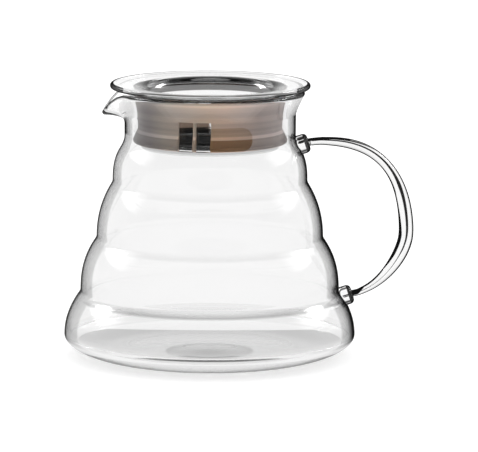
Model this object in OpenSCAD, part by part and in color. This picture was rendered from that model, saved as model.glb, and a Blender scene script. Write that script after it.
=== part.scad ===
// Glass coffee server: a blown vessel with stacked rings and a drawn spout, a glass rod handle
// fused on through two pads, a drop-in glass lid and a silicone gasket round the lid's cup.
// The origin is on the table at the centre of the foot. The spout points to -X, the handle to +X.

/* [Vessel heights, from the table up] */
// Height of the rounded base corner, up to the widest line
corner_h = 9.4; // [7:0.1:12]
// Height of the lowest ring
low_ring_h = 17.4; // [14:0.1:22]
// Height of the middle ring
mid_ring_h = 22.2; // [18:0.1:26]
// Height of the high ring
high_ring_h = 23; // [20:0.1:28]
// Height of the shoulder under the neck
shoulder_h = 16.5; // [13:0.1:19]
// Height of the straight neck
neck_h = 11.5; // [9:0.1:14]
// Height of the flare from the neck to the rim
flare_h = 9.6; // [8:0.1:11]

/* [Vessel diameters] */
// Diameter of the flat ring that the vessel stands on
foot_d = 67; // [60:0.5:80]
// Diameter at the widest line
body_d = 119; // [112:0.2:126]
// Diameter at the lowest groove
low_groove_d = 105.8; // [100:0.2:110]
// Diameter at the middle groove
mid_groove_d = 92.6; // [88:0.2:97]
// Diameter at the highest groove
high_groove_d = 79.5; // [76:0.2:85]
// Diameter of the neck
neck_d = 69.8; // [68:0.2:73]
// How far the rim flares out past the neck
flare_out = 3.6; // [2.6:0.1:5]

/* [Vessel glass] */
// Thickness of the wall
wall = 2; // [1.5:0.1:2.6]
// Thickness of the rounded rim
rim_t = 2.3; // [1.8:0.1:2.8]
// Distance over which a groove is softened, up and down
groove_soft = 1; // [0.5:0.1:2]
// Distance over which the bend under the neck is softened, up and down
neck_soft = 2.5; // [1.5:0.1:3]
// Diameter of the dimple under the centre of the base
punt_d = 33; // [24:0.5:42]
// Height of that dimple
punt_h = 1.6; // [1:0.1:2]
// Height of the bump inside, over the dimple
bump_h = 2.6; // [2:0.1:4]

/* [Spout] */
// How far the spout's tip stands out past the rim
spout_reach = 5.5; // [3:0.1:8]
// How far the tip lies below the rim
spout_drop = 8; // [5:0.1:9]
// Length by which the spout's sharp point is rounded back
spout_round = 1.1; // [0.6:0.1:1.8]

/* [Handle] */
// Height of the upper pad's centre below the top of the shoulder
upper_pad_down = 1.3; // [0.5:0.1:2.5]
// Height of the lower pad's centre below the lowest groove
lower_pad_down = 2; // [1:0.1:3]
// Diameter of a fused pad
pad_d = 8; // [7:0.1:9]
// Angle by which the pads lean back
pad_tilt = 18; // [10:1:26]
// Height of a pad over the wall
pad_h = 3.9; // [3:0.1:4.5]
// Distance from the vessel's axis to the rod's centre at its furthest
handle_reach = 80.4; // [76:0.1:88]
// Height of that furthest point
handle_out_z = 51.8; // [46:0.1:60]
// Angle above level at which the rod leaves the upper pad
upper_leave = 8; // [2:1:20]
// Angle above level at which the rod leaves the lower pad
lower_leave = 8; // [2:1:20]
// Thickness of the rod where it leaves the upper pad
rod_top_d = 3.1; // [2.6:0.1:4]
// Thickness of the rod along its top stretch
rod_arch_d = 4.2; // [3.6:0.1:5]
// Thickness of the rod at its furthest point
rod_mid_d = 6.1; // [5:0.1:7]
// Thickness of the rod where it leaves the lower pad
rod_low_d = 2.7; // [2.4:0.1:4]

/* [Lid glass] */
// How far the flange stands out past the rim
flange_out = 2.3; // [1.5:0.1:4]
// Thickness of the flange
flange_t = 2.2; // [1.8:0.1:3]
// How far the flange's edge rises above its root
flange_rise = 1.6; // [0.8:0.1:2]
// Depth of the cup below the flange
cup_h = 23.4; // [21:0.2:27]
// Thickness of the cup's wall
cup_wall = 2; // [1.6:0.1:2.4]
// Radius of the bend at the cup's inner floor; the bend up to the flange is larger by the wall
cup_bend_r = 3.5; // [2.5:0.1:4]
// Radius of the small corner between the cup's outside and the flange
cup_corner_r = 1; // [0.6:0.1:3]
// How far the cup's bottom edge stands out to hold the gasket
cup_lip = 0.5; // [0.3:0.1:1]
// Height of the cup's rounded bottom edge
cup_edge_h = 1.2; // [1:0.1:2]

/* [Lid gasket] */
// Thickness of the gasket's band
gasket_wall = 1.8; // [1.4:0.1:2.2]
// How far the band flares out at its top edge
gasket_flare = 1.7; // [1:0.1:2.2]
// How far the lip at the band's lower end stands out past the band
lip_out = 2.05; // [1.5:0.05:2.6]
// Height of that lip
lip_h = 6.6; // [5:0.1:8]
// Width of each pouring notch
notch_w = 13.2; // [10:0.2:18]
// Height of each pouring notch
notch_h = 12.6; // [9:0.1:14]
// Thickness of the rib in the middle of a notch
notch_rib_t = 1; // [0.8:0.1:1.6]
// Angle by which the gasket is turned round from square to the spout
gasket_turn = -12; // [-90:1:90]

/* [Clearances] */
// Gap between the flange and the rim
lid_seat_gap = 0.2; // [0.1:0.05:0.4]
// Gap between the gasket's lip and the neck, all round
gasket_neck_gap = 1.5; // [1:0.1:2]
// Radial running gap between the cup and the gasket
gasket_bore_gap = 0.05; // [0.02:0.01:0.08]
// Gap between the gasket and the cup's bend and bottom edge
gasket_end_gap = 0.2; // [0.1:0.05:0.4]

/* [Hidden] */
$fn = 96;

glass_tint = [0.86, 0.92, 0.92, 0.35];
silicone_brown = [0.55, 0.49, 0.46];

// How far a cutting solid runs past what it cuts
overrun = 1;

// Heights of the grooves and of the neck's ends
low_groove_z = corner_h + low_ring_h;
mid_groove_z = low_groove_z + mid_ring_h;
high_groove_z = mid_groove_z + high_ring_h;
neck_z = high_groove_z + shoulder_h;
flare_z = neck_z + neck_h;
rim_z = flare_z + flare_h;
rim_d = neck_d + 2 * flare_out;
lid_d = rim_d + 2 * flange_out;

// Each ring as height and radius at its lower and upper end, and how squarely it turns in at its top
ring_powers = [2, 2.5, 2.25, 2.9];
RINGS = [
    [corner_h, low_groove_z, body_d / 2, low_groove_d / 2, ring_powers[0]],
    [low_groove_z, mid_groove_z, low_groove_d / 2, mid_groove_d / 2, ring_powers[1]],
    [mid_groove_z, high_groove_z, mid_groove_d / 2, high_groove_d / 2, ring_powers[2]],
    [high_groove_z, neck_z, high_groove_d / 2, neck_d / 2, ring_powers[3]]
];
ring_steps = 12;
corner_steps = 9;
flare_power = 1.3;

// Outer radius at a height on the foot's corner, the rings, the neck and the flare
function ring_r(z, ring) =
    let (up = (z - ring[0]) / (ring[1] - ring[0]))
    ring[2] - (ring[2] - ring[3]) * pow(up, ring[4]);
function corner_r(z) =
    (foot_d + (body_d - foot_d) * sqrt(1 - pow((corner_h - z) / corner_h, 2))) / 2;
function sharp_r(z) =
    z < corner_h ? corner_r(max(z, 0)) :
    z < low_groove_z ? ring_r(z, RINGS[0]) :
    z < mid_groove_z ? ring_r(z, RINGS[1]) :
    z < high_groove_z ? ring_r(z, RINGS[2]) :
    z < neck_z ? ring_r(z, RINGS[3]) : neck_d / 2;

// The same radius with its grooves rounded, as a mean over a short stretch above and below
soft_shares = [-1, -0.5, 0, 0.5, 1];
function mean(values) = values * [for (v = values) 1] / len(values);
function smooth(t) = let (c = min(max(t, 0), 1)) c * c * (3 - 2 * c);
function soft(z) = groove_soft + (neck_soft - groove_soft) * smooth((z - high_groove_z) / shoulder_h);
function body_r(z) = mean([for (s = soft_shares) sharp_r(z + s * soft(z))]);

// Heights that crowd together at both ends of a stretch, where the outline turns most
function crowded(z0, z1, steps) =
    [for (i = [1:steps]) z0 + (z1 - z0) * (1 - cos(180 * i / steps)) / 2];

// The spout band: the wall from the middle of the neck up to the rim, as a middle line with a thickness
band_z = neck_z + neck_h / 2;
rim_c_z = rim_z - rim_t / 2;
rim_c_r = (rim_d - rim_t) / 2;
neck_c_r = (neck_d - wall) / 2;
band_steps = 9;
bead_steps = 7;
dome_steps = 8;
tip_steps = 14;
spout_root_share = 0.14;
reach_power = 1.5;
drop_power = 1.45;
tip_drop_power = 1.15;
tip_angle_power = 1.35;
thicken_power = 2;

// Outer points of the vessel from the foot's edge to the spout band
function body_outline() = concat(
    [for (i = [0:corner_steps])
        let (a = 90 * i / corner_steps)
        [(foot_d + (body_d - foot_d) * sin(a)) / 2, corner_h * (1 - cos(a))]],
    [for (ring = RINGS) for (z = crowded(ring[0], ring[1], ring_steps)) [body_r(z), z]],
    [for (z = [neck_z + neck_soft / 2, neck_z + neck_soft, band_z]) [body_r(z), z]]
);

// Points moved square to their line by a distance, to the left of its direction
function square_left(p, q) = let (d = q - p) [-d[1], d[0]] / norm(d);
function shifted(line, by) = [
    for (i = [0:len(line) - 1])
        line[i] + by[i] * square_left(line[max(i - 1, 0)], line[min(i + 1, len(line) - 1)])
];

// Middle line of the band where the spout is drawn out by a share w of its full reach
function band_middle(w) = [
    for (i = [0:band_steps])
        let (s = i / band_steps, z = band_z + (rim_c_z - band_z) * s,
             up = max((z - flare_z) / (rim_c_z - flare_z), 0),
             out = max((s - spout_root_share) / (1 - spout_root_share), 0))
        [neck_c_r + (rim_c_r - neck_c_r) * pow(up, flare_power) + spout_reach * w * pow(out, reach_power),
         z - spout_drop * pow(w, tip_drop_power) * pow(out, drop_power)]
];
function band_halves() =
    [for (i = [0:band_steps]) (wall + (rim_t - wall) * pow(i / band_steps, thicken_power)) / 2];

// Closed section of the band: up its outside, over the rounded rim and down its inside.
// It can start lower by a drop, and lie inside the true skin by an inset.
function band_section(w, drop, inset) =
    let (middle = concat(drop > 0 ? [[neck_c_r, band_z - drop]] : [], band_middle(w)),
         halves = [for (h = concat(drop > 0 ? [wall / 2] : [], band_halves())) h - inset],
         inside = shifted(middle, halves), outside = shifted(middle, -halves),
         last = len(middle) - 1,
         end = middle[last], left = inside[last] - end,
         ahead = [left[1], -left[0]])
    concat(
        outside,
        [for (i = [1:bead_steps - 1])
            let (a = 180 * i / bead_steps) end - left * cos(a) + ahead * sin(a)],
        [for (i = [last:-1:0]) inside[i]]
    );

// Seen from above, the spout's sides are straight lines that leave the rim's circle as tangents
rim_r = rim_d / 2;
tip_r = rim_r + spout_reach;
spout_half = acos(rim_r / (tip_r + spout_round));
spout_blunt = spout_half - acos(rim_r / tip_r);
function spout_share(a) =
    let (off = max(spout_half - sqrt(a * a + spout_blunt * spout_blunt), 0))
    (rim_r / cos(off) - rim_r) / spout_reach;

// Faces of a closed skin through a row of equal sections of n points each
function skin_faces(rows, n) = [
    for (i = [0:rows - 2]) for (k = [0:n - 1])
        let (a = i * n + k, b = i * n + (k + 1) % n)
        each [[a, a + n, b + n], [a, b + n, b]]
];

// Faces that close a section whose point k lies across from its point n - 1 - k
function strip_faces(first, n) = [
    for (k = [0:floor(n / 2) - 2])
        let (a = first + k, b = first + n - 1 - k)
        each [[a, a + 1, b], [a + 1, b - 1, b]]
];
function turned(faces) = [for (f = faces) [f[2], f[1], f[0]]];

// The vessel's section below the spout band
module vessel_section() {
    outer = body_outline();
    last = len(outer) - 1;
    inner = shifted(outer, [for (p = outer) wall]);
    polygon(concat(
        [for (i = [0:dome_steps]) let (a = 90 * i / dome_steps) [punt_d / 2 * sin(a), punt_h * cos(a)]],
        outer,
        [for (i = [last:-1:0]) inner[i]],
        [for (i = [dome_steps:-1:0])
            [punt_d / 2 * i / dome_steps, wall + bump_h * (1 + cos(180 * i / dome_steps)) / 2]]
    ));
}

// What the vessel would be with no hollow, to fit a pad to its wall
module vessel_outside() {
    outer = body_outline();
    rotate_extrude() polygon(concat([[0, 0]], outer, [[0, band_z]]));
}

// The spout's ends and foot are sunk a little into the plain wall, so that the two join as solids
seam_turn = 1.5;
seam_drop = 1.2;
seam_inset = 0.03;

module spout_sector() {
    drawn = [for (i = [-tip_steps:tip_steps])
        spout_half * sign(i) * pow(abs(i) / tip_steps, tip_angle_power)];
    angles = concat([-spout_half - seam_turn], drawn, [spout_half + seam_turn]);
    rows = [for (a = angles)
        [for (p = band_section(spout_share(a), seam_drop, seam_inset))
            [-p[0] * cos(a), p[0] * sin(a), p[1]]]];
    n = len(rows[0]);
    polyhedron(points = [for (row = rows) each row],
               faces = concat(strip_faces(0, n), skin_faces(len(rows), n),
                              turned(strip_faces((len(rows) - 1) * n, n))));
}

module glass_body() {
    color(glass_tint) {
        rotate_extrude() vessel_section();
        rotate([0, 0, spout_half - 180])
            rotate_extrude(angle = 360 - 2 * spout_half) polygon(band_section(0, 0, 0));
        spout_sector();
    }
}

// A pad's centre on the wall, as a mean over the pad's width
upper_pad_z = neck_z - upper_pad_down;
lower_pad_z = low_groove_z - lower_pad_down;
function pad_low(z) = body_r(z - pad_d / 2);
function pad_high(z) = body_r(z + pad_d / 2);
function pad_seat(z) = [(pad_low(z) + pad_high(z)) / 2, z];
function pad_top(z) = pad_seat(z) + pad_h * [cos(pad_tilt), sin(pad_tilt)];

// A pad is a round button with a soft edge, a low crown and a flat the size of the rod's end
pad_edge_share = 0.5;
crown_steps = 10;
crown_power = 0.7;
module weld_pad(z, rod_d) {
    edge = pad_h * pad_edge_share;
    crown = [for (i = [0:crown_steps])
        let (a = 90 * i / crown_steps)
        [(rod_d + (pad_d - rod_d) * pow(cos(a), crown_power)) / 2, edge + (pad_h - edge) * sin(a)]];
    difference() {
        translate([pad_seat(z)[0], 0, z]) rotate([0, 90 - pad_tilt, 0])
            rotate_extrude() polygon(concat(
                [[0, -pad_d / 2], [pad_d / 2, -pad_d / 2]], crown, [[0, pad_h]]));
        vessel_outside();
    }
}

module upper_weld_pad() {
    color(glass_tint) weld_pad(upper_pad_z, rod_top_d);
}

module lower_weld_pad() {
    color(glass_tint) weld_pad(lower_pad_z, rod_low_d);
}

// The rod's centre line: two cubic curves that meet, upright, at its furthest point
handle_sides = 16;
handle_steps = 20;
pull_shares = [0.455, 0.515, 0.26, 0.35];
function cubic(p, t) =
    pow(1 - t, 3) * p[0] + 3 * pow(1 - t, 2) * t * p[1] + 3 * (1 - t) * t * t * p[2] + pow(t, 3) * p[3];
handle_out = [handle_reach, handle_out_z];
upper_end = pad_top(upper_pad_z);
lower_end = pad_top(lower_pad_z);
upper_span = norm(handle_out - upper_end);
lower_span = norm(handle_out - lower_end);
UPPER_CURVE = [
    upper_end,
    upper_end + pull_shares[0] * upper_span * [cos(upper_leave), sin(upper_leave)],
    handle_out + [0, pull_shares[1] * upper_span],
    handle_out
];
LOWER_CURVE = [
    handle_out,
    handle_out - [0, pull_shares[2] * lower_span],
    lower_end + pull_shares[3] * lower_span * [cos(lower_leave), sin(lower_leave)],
    lower_end
];
arch_full_share = 0.3;
swell_start_share = 0.5;
taper_start_share = 0.2;
function after(t, start) = smooth((t - start) / (1 - start));
function upper_rod_d(t) =
    rod_top_d + (rod_arch_d - rod_top_d) * smooth(t / arch_full_share)
    + (rod_mid_d - rod_arch_d) * after(t, swell_start_share);
function lower_rod_d(t) = rod_mid_d + (rod_low_d - rod_mid_d) * after(t, taper_start_share);

module handle_rod() {
    centres = concat(
        [for (i = [0:handle_steps]) cubic(UPPER_CURVE, i / handle_steps)],
        [for (i = [1:handle_steps]) cubic(LOWER_CURVE, i / handle_steps)]);
    widths = concat(
        [for (i = [0:handle_steps]) upper_rod_d(i / handle_steps)],
        [for (i = [1:handle_steps]) lower_rod_d(i / handle_steps)]);
    last = len(centres) - 1;
    function across(i) =
        i == 0 ? [-sin(pad_tilt), cos(pad_tilt)] :
        i == last ? [sin(pad_tilt), -cos(pad_tilt)] :
        square_left(centres[i - 1], centres[i + 1]);
    points = [for (i = [0:last]) for (k = [0:handle_sides - 1])
        let (a = 360 * k / handle_sides, side = across(i) * cos(a) * widths[i] / 2)
        [centres[i][0] + side[0], -sin(a) * widths[i] / 2, centres[i][1] + side[1]]];
    color(glass_tint)
        polyhedron(points = points,
                   faces = concat([[for (k = [0:handle_sides - 1]) k]],
                                  skin_faces(last + 1, handle_sides),
                                  [[for (k = [handle_sides - 1:-1:0]) last * handle_sides + k]]));
}

// The gasket fits the neck, and the lid's cup fits the gasket, each with its own clearance
lip_r = neck_d / 2 - wall - gasket_neck_gap;
waist_r = lip_r - lip_out;
gasket_bore_r = waist_r - gasket_wall;
cup_r = gasket_bore_r - gasket_bore_gap;

// The lid hangs by its flange, so its heights run down from the flange's underside
flange_root_r = cup_r + cup_bend_r;
flange_power = 2.5;
function flange_lift(r) =
    flange_rise * pow(max(r - flange_root_r, 0) / (lid_d / 2 - flange_root_r), flange_power);
flange_z = rim_z + lid_seat_gap - flange_lift(rim_d / 2 - rim_t / 2);
cup_floor_z = flange_z - cup_h;
bend_steps = 8;
flange_steps = 7;
foot_turn = 60;
function arc(centre, r, from, to) = [
    for (i = [0:bend_steps])
        let (a = from + (to - from) * i / bend_steps) centre + r * [cos(a), sin(a)]
];

module lid_glass() {
    edge_r = flange_t / 2;
    edge_c_r = lid_d / 2 - edge_r;
    corner = [cup_r + cup_corner_r, flange_z - cup_corner_r];
    lip_out_r = cup_r + cup_lip;
    foot_r = cup_edge_h / 2;
    inner_r = cup_r - cup_wall;
    inner_bend = cup_bend_r + cup_wall;
    under = [for (i = [1:flange_steps - 1])
        let (r = flange_root_r + (edge_c_r - flange_root_r) * i / flange_steps)
        [r, flange_z + flange_lift(r)]];
    color(glass_tint) rotate_extrude() polygon(concat(
        [[0, cup_floor_z]],
        arc([lip_out_r - foot_r, cup_floor_z + foot_r], foot_r, -90, foot_turn),
        [[cup_r, cup_floor_z + cup_edge_h + cup_lip]],
        arc(corner, cup_corner_r, 180, 90),
        [[flange_root_r, flange_z]],
        under,
        arc([edge_c_r, flange_z + flange_lift(edge_c_r) + edge_r], edge_r, -90, 90),
        [for (i = [len(under) - 1:-1:0]) under[i] + [0, flange_t]],
        arc([inner_r + inner_bend, flange_z + flange_t - inner_bend], inner_bend, 90, 180),
        arc([inner_r - cup_bend_r, cup_floor_z + cup_wall + cup_bend_r], cup_bend_r, 0, -90),
        [[0, cup_floor_z + cup_wall]]
    ));
}

// The gasket follows the cup's outside, with its top under the flange and its foot on the cup's edge
gasket_top_z = flange_z - cup_corner_r - gasket_end_gap;
gasket_low_z = cup_floor_z + cup_edge_h + cup_lip + gasket_end_gap;
lip_top_z = gasket_low_z + lip_h;
lip_mid_share = 0.36;
gasket_power = 2.4;

module gasket_ring() {
    lip_mid_z = gasket_low_z + lip_h * lip_mid_share;
    under = [for (i = [0:bend_steps])
        let (a = 90 * i / bend_steps)
        [gasket_bore_r + gasket_wall / 2 + (lip_r - gasket_bore_r - gasket_wall / 2) * sin(a),
         lip_mid_z - (lip_mid_z - gasket_low_z) * cos(a)]];
    band = [for (i = [0:bend_steps])
        let (t = i / bend_steps)
        [waist_r + gasket_flare * pow(t, gasket_power), lip_top_z + (gasket_top_z - lip_top_z) * t]];
    rotate_extrude() polygon(concat(
        [[gasket_bore_r, gasket_low_z]], under, band, [[gasket_bore_r, gasket_top_z]]));
}

module lid_gasket() {
    color(silicone_brown) rotate([0, 0, gasket_turn]) {
        difference() {
            gasket_ring();
            for (turn = [0, 180]) rotate([0, 0, turn])
                for (x = [-notch_w / 2, notch_rib_t / 2])
                    translate([x, -lip_r - overrun, gasket_low_z - overrun])
                        cube([(notch_w - notch_rib_t) / 2, lip_r + overrun, notch_h + overrun]);
        }
    }
}

glass_body();
handle_rod();
upper_weld_pad();
lower_weld_pad();
lid_glass();
lid_gasket();
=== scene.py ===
# %% [markdown]
# # A glass coffee server
#
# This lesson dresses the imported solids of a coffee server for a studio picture: a blown glass
# vessel with stacked rings, a glass rod handle that is fused on, a glass lid, and the brown
# silicone gasket that holds the lid in the neck. Almost all of it is clear glass, so nearly all
# that the eye sees is light bent by the shapes. The shapes are therefore made again here from the
# same sizes as the solids, but much finer, because a facet that hardly shows on a painted thing
# shows at once in glass.

# %% The frame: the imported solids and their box
import math
import bpy
import numpy as np
from mathutils import Matrix, Vector


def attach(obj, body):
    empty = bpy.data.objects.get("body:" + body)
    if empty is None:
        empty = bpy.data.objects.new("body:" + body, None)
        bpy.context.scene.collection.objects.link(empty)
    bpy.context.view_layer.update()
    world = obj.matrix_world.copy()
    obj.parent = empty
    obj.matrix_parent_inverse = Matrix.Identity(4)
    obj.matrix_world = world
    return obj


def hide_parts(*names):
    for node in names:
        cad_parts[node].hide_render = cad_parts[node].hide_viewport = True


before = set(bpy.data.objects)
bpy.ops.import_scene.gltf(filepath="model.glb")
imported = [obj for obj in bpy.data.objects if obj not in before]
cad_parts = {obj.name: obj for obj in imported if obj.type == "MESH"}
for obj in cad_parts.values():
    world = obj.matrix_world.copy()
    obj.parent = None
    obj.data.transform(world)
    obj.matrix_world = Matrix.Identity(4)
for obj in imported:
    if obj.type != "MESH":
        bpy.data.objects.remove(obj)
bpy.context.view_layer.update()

# %% [markdown]
# ## The vessel's outline
#
# The real vessel is blown into a mould whose wall has four bulging rings, and the grooves between
# them come out soft. One could draw the outline by hand as a curve. Here each ring is a power
# curve between two grooves instead, and a short running mean softens the grooves, because then
# each groove's place and each ring's fullness is one number that can be set against the photograph.

# %% The vessel's sizes, in millimetres, the same as the solids have
CORNER_H, LOW_RING_H, MID_RING_H, HIGH_RING_H = 9.4, 17.4, 22.2, 23.0
SHOULDER_H, NECK_H, FLARE_H = 16.5, 11.5, 9.6
FOOT_D, BODY_D, LOW_GROOVE_D, MID_GROOVE_D, HIGH_GROOVE_D = 67.0, 119.0, 105.8, 92.6, 79.5
NECK_D, FLARE_OUT, WALL, RIM_T = 69.8, 3.6, 2.0, 2.3
GROOVE_SOFT, NECK_SOFT = 1.0, 2.5
PUNT_D, PUNT_H, BUMP_H = 33.0, 1.1, 0.7

LOW_GROOVE_Z = CORNER_H + LOW_RING_H
MID_GROOVE_Z = LOW_GROOVE_Z + MID_RING_H
HIGH_GROOVE_Z = MID_GROOVE_Z + HIGH_RING_H
NECK_Z = HIGH_GROOVE_Z + SHOULDER_H
FLARE_Z = NECK_Z + NECK_H
RIM_Z = FLARE_Z + FLARE_H
RIM_R = NECK_D / 2 + FLARE_OUT
BAND_Z = NECK_Z + NECK_H / 2
print("rim at", RIM_Z, "mm, rim radius", RIM_R, "mm")

# %% The outline's radius at any height
RINGS = [
    (CORNER_H, LOW_GROOVE_Z, BODY_D / 2, LOW_GROOVE_D / 2, 2.0),
    (LOW_GROOVE_Z, MID_GROOVE_Z, LOW_GROOVE_D / 2, MID_GROOVE_D / 2, 2.5),
    (MID_GROOVE_Z, HIGH_GROOVE_Z, MID_GROOVE_D / 2, HIGH_GROOVE_D / 2, 2.25),
    (HIGH_GROOVE_Z, NECK_Z, HIGH_GROOVE_D / 2, NECK_D / 2, 2.9),
]
MEAN_POINTS = 33


def smooth(t):
    """A soft step from 0 to 1."""
    t = np.clip(t, 0, 1)
    return t * t * (3 - 2 * t)


def sharp_radius(z):
    """Radius with hard grooves, for an array of heights."""
    lean = np.clip((CORNER_H - z) / CORNER_H, 0, 1)
    r = (FOOT_D + (BODY_D - FOOT_D) * np.sqrt(1 - lean ** 2)) / 2
    for low, high, r0, r1, power in RINGS:
        up = np.clip((z - low) / (high - low), 0, 1)
        r = np.where(z >= low, r0 - (r0 - r1) * up ** power, r)
    return r


def vessel_radius(z):
    """The same with soft grooves, as a mean over a short stretch above and below."""
    z = np.atleast_1d(np.asarray(z, float))
    soft = GROOVE_SOFT + (NECK_SOFT - GROOVE_SOFT) * smooth((z - HIGH_GROOVE_Z) / SHOULDER_H)
    shifts = np.linspace(-1, 1, MEAN_POINTS)
    return np.mean([sharp_radius(z + s * soft) for s in shifts], axis=0)


def crowded(low, high, steps):
    """Heights that crowd together at both ends, without the first."""
    return low + (high - low) * (1 - np.cos(np.pi * np.arange(1, steps + 1) / steps)) / 2


def side_step(points, by):
    """Points moved square to their line, to the left of its direction."""
    ahead = np.vstack([points[1:], points[-1:]]) - np.vstack([points[:1], points[:-1]])
    ahead /= np.linalg.norm(ahead, axis=1)[:, None]
    return points + np.stack([-ahead[:, 1], ahead[:, 0]], 1) * np.reshape(by, (-1, 1))


CORNER_POINTS, RING_STEPS, NECK_POINTS = 40, 64, 9


def vessel_outline():
    """Outer points as (radius, height) from the foot's edge up to where the spout begins."""
    turn = np.radians(np.linspace(0, 90, CORNER_POINTS))
    corner = np.stack([(FOOT_D + (BODY_D - FOOT_D) * np.sin(turn)) / 2, CORNER_H * (1 - np.cos(turn))], 1)
    heights = np.concatenate([crowded(low, high, RING_STEPS) for low, high, *_ in RINGS]
                             + [np.linspace(NECK_Z, BAND_Z, NECK_POINTS)[1:]])
    return np.vstack([corner, np.stack([vessel_radius(heights), heights], 1)])


outline = vessel_outline()
print("outline points:", len(outline), "widest:", round(2 * outline[:, 0].max(), 2), "mm")

# %% [markdown]
# ## The spout
#
# While the rim is still hot, the glassblower pulls one spot of it outwards and down with a tool.
# That could be sculpted, but a rule does it more evenly: the upper band of the wall is a middle
# line with a thickness, and a share from 0 to 1 says how far the line is drawn out at each angle.
# Seen from above, the spout's sides are straight lines that leave the rim's circle as tangents.

# %% The band of wall that carries the spout
SPOUT_REACH, SPOUT_DROP, SPOUT_ROUND = 5.5, 8.0, 1.1
ROOT_SHARE, REACH_POWER, DROP_POWER, TIP_DROP_POWER, FLARE_POWER = 0.14, 1.5, 1.45, 1.15, 1.3
RIM_C_Z, RIM_C_R, NECK_C_R = RIM_Z - RIM_T / 2, RIM_R - RIM_T / 2, (NECK_D - WALL) / 2
BAND_STEPS, BEAD_STEPS = 44, 18

TIP_R = RIM_R + SPOUT_REACH
spout_half = math.acos(RIM_R / (TIP_R + SPOUT_ROUND))
spout_blunt = spout_half - math.acos(RIM_R / TIP_R)


def spout_share(angle):
    """How far the rim is drawn out at an angle from the spout's middle, from 0 to 1."""
    off = max(spout_half - math.hypot(angle, spout_blunt), 0)
    return (RIM_R / math.cos(off) - RIM_R) / SPOUT_REACH


def band_section(w):
    """Points up the band's outside, over the round rim and down its inside."""
    s = np.linspace(0, 1, BAND_STEPS + 1)
    z = BAND_Z + (RIM_C_Z - BAND_Z) * s
    up = np.clip((z - FLARE_Z) / (RIM_C_Z - FLARE_Z), 0, 1)
    out = np.clip((s - ROOT_SHARE) / (1 - ROOT_SHARE), 0, 1)
    r = NECK_C_R + (RIM_C_R - NECK_C_R) * up ** FLARE_POWER + SPOUT_REACH * w * out ** REACH_POWER
    middle = np.stack([r, z - SPOUT_DROP * w ** TIP_DROP_POWER * out ** DROP_POWER], 1)
    half = (WALL + (RIM_T - WALL) * s ** 2) / 2
    inside, outside = side_step(middle, half), side_step(middle, -half)
    left = inside[-1] - middle[-1]
    ahead = np.array([left[1], -left[0]])
    turn = (np.pi * np.arange(1, BEAD_STEPS) / BEAD_STEPS)[:, None]
    bead = middle[-1] - left * np.cos(turn) + ahead * np.sin(turn)
    return np.vstack([outside, bead, inside[::-1]])


print("spout half angle:", round(math.degrees(spout_half), 1), "degrees")

# %% [markdown]
# ## Turning sections into a closed skin
#
# Every section runs from the axis, round the glass, and back to the axis. A full turn of such
# sections makes one closed skin of four-sided faces, with one shared point at each end of the
# axis. Blender's Screw or Spin could turn a plain outline, but not one that changes with the
# angle, so the skin is written as points and faces.

# %% A helper that skins a full turn of sections
MM = 0.001


def volume(points, faces):
    """The volume inside closed faces: positive when they face outwards."""
    points = np.asarray(points)
    total = 0.0
    for size in sorted({len(f) for f in faces}):
        corner = points[np.array([f for f in faces if len(f) == size])]
        for k in range(1, size - 1):
            total += np.einsum("ij,ij->", corner[:, 0], np.cross(corner[:, k], corner[:, k + 1])) / 6
    return total


def new_piece(name, points, faces, body, *nodes):
    """A smooth mesh from points in millimetres, riding on a body in place of CAD nodes."""
    mesh = bpy.data.meshes.new(name)
    mesh.from_pydata((np.asarray(points) * MM).tolist(), [], faces)
    mesh.validate()
    mesh.polygons.foreach_set("use_smooth", [True] * len(mesh.polygons))
    piece = bpy.data.objects.new(name, mesh)
    bpy.context.scene.collection.objects.link(piece)
    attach(piece, body)
    if nodes:
        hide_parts(*nodes)
    print(name, "has", len(mesh.vertices), "points and", round(volume(points, faces)), "cubic mm of material")
    return piece


def turned_skin(sections, angles):
    """Points and faces for sections of equal length whose first and last points lie on the axis.

    Each face's number round its section comes back too, so that a skin can be told from another."""
    rows = [np.stack([s[1:-1, 0] * math.cos(a), s[1:-1, 0] * math.sin(a), s[1:-1, 1]], 1)
            for s, a in zip(sections, angles)]
    n, turns = len(rows[0]), len(rows)
    points = np.vstack(rows + [[[0, 0, sections[0][0, 1]]], [[0, 0, sections[0][-1, 1]]]])
    low, top = turns * n, turns * n + 1
    faces = []
    for i in range(turns):
        a, b = i * n, (i + 1) % turns * n
        faces += [(a + k, b + k, b + k + 1, a + k + 1) for k in range(n - 1)]
        faces += [(low, b, a), (top, a + n - 1, b + n - 1)]
    numbers = list(range(n - 1)) + [0, n - 2]
    return points, faces, numbers * turns


# %% The vessel's section
DOME_POINTS, FLAT_POINTS = 26, 10


def vessel_section(w):
    """One closed section of the vessel where the spout is drawn out by the share w."""
    dome = np.radians(np.linspace(0, 90, DOME_POINTS))
    under = np.stack([PUNT_D / 2 * np.sin(dome), PUNT_H * np.cos(dome)], 1)
    foot_r = np.linspace(PUNT_D / 2, FOOT_D / 2, FLAT_POINTS + 2)[1:-1]
    foot = np.stack([foot_r, np.zeros(FLAT_POINTS)], 1)
    inner = side_step(outline, WALL)[::-1]
    floor_r = np.linspace(inner[-1, 0], PUNT_D / 2, FLAT_POINTS + 2)[1:-1]
    floor = np.stack([floor_r, np.full(FLAT_POINTS, WALL)], 1)
    bump_r = np.linspace(PUNT_D / 2, 0, DOME_POINTS)
    bump = np.stack([bump_r, WALL + BUMP_H * (1 + np.cos(np.pi * bump_r / (PUNT_D / 2))) / 2], 1)
    return np.vstack([under, foot, outline, band_section(w)[1:-1], inner, floor, bump])


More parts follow.
